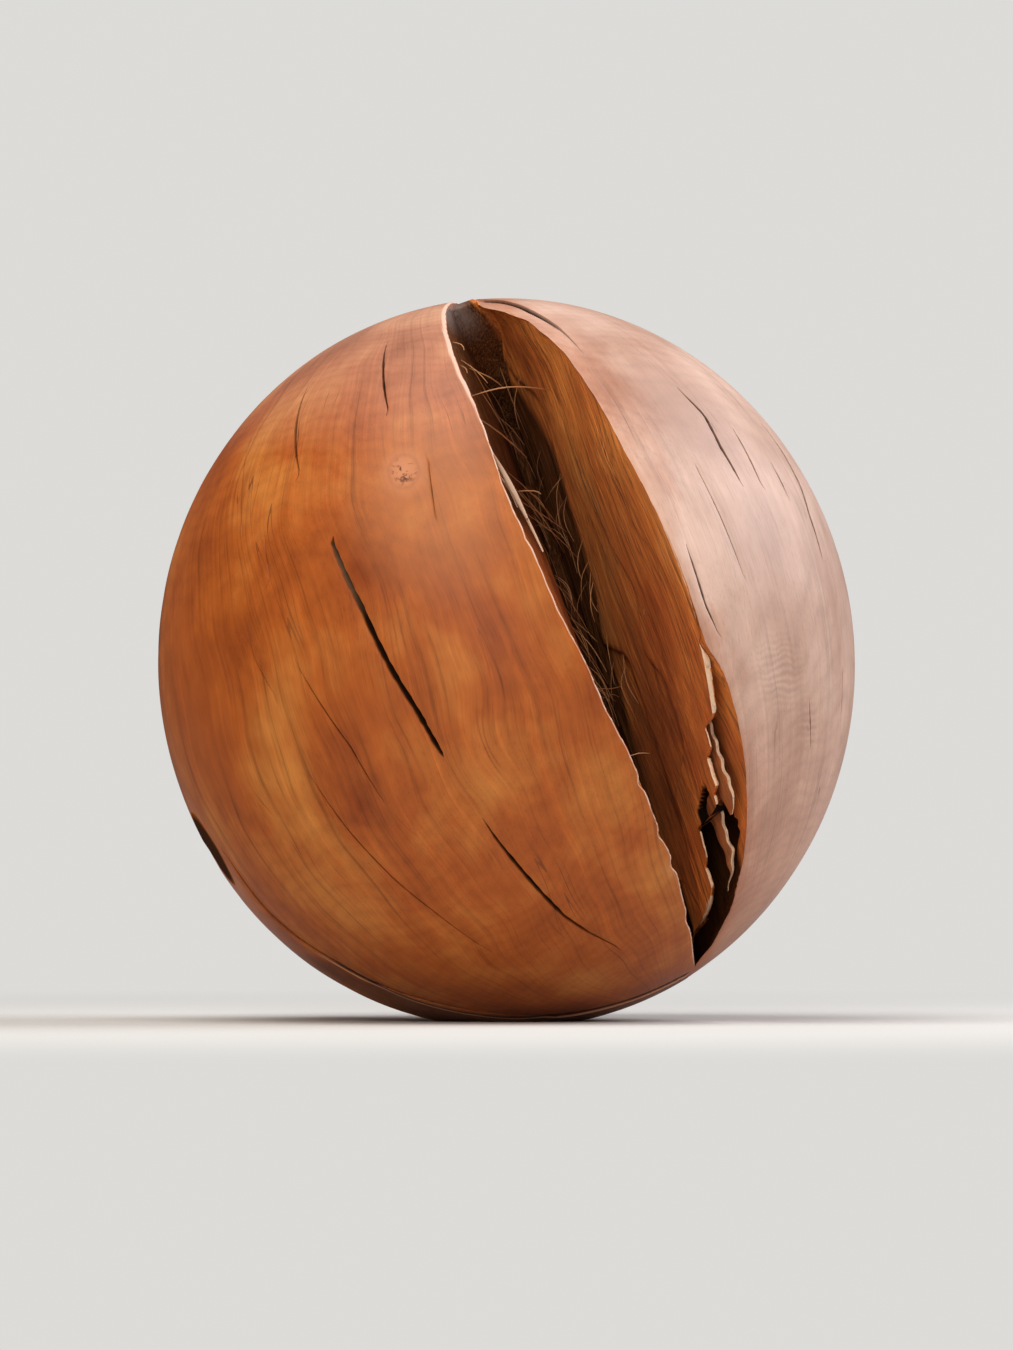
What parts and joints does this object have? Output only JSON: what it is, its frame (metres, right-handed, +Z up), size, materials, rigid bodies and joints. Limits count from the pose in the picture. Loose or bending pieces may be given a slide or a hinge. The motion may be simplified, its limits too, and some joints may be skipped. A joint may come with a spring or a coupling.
{
  "type": "turned wooden ball",
  "caption": "Large turned wooden ball with a deep open drying fissure, torn inner wall, splinters and radial checks, standing on a small flat.",
  "frame": {"origin": "middle of the flat that the ball stands on", "axes": "+Z up through the ball, -Y straight out of the fissure's left wall, +X to the right of someone facing the fissure"},
  "size_m": [0.4481, 0.448, 0.4644],
  "materials": {
    "wood": "satin oiled hardwood, raw and torn inside the fissure"
  },
  "bodies": {
    "root": {"ball": "wood"}
  },
  "joints": []
}
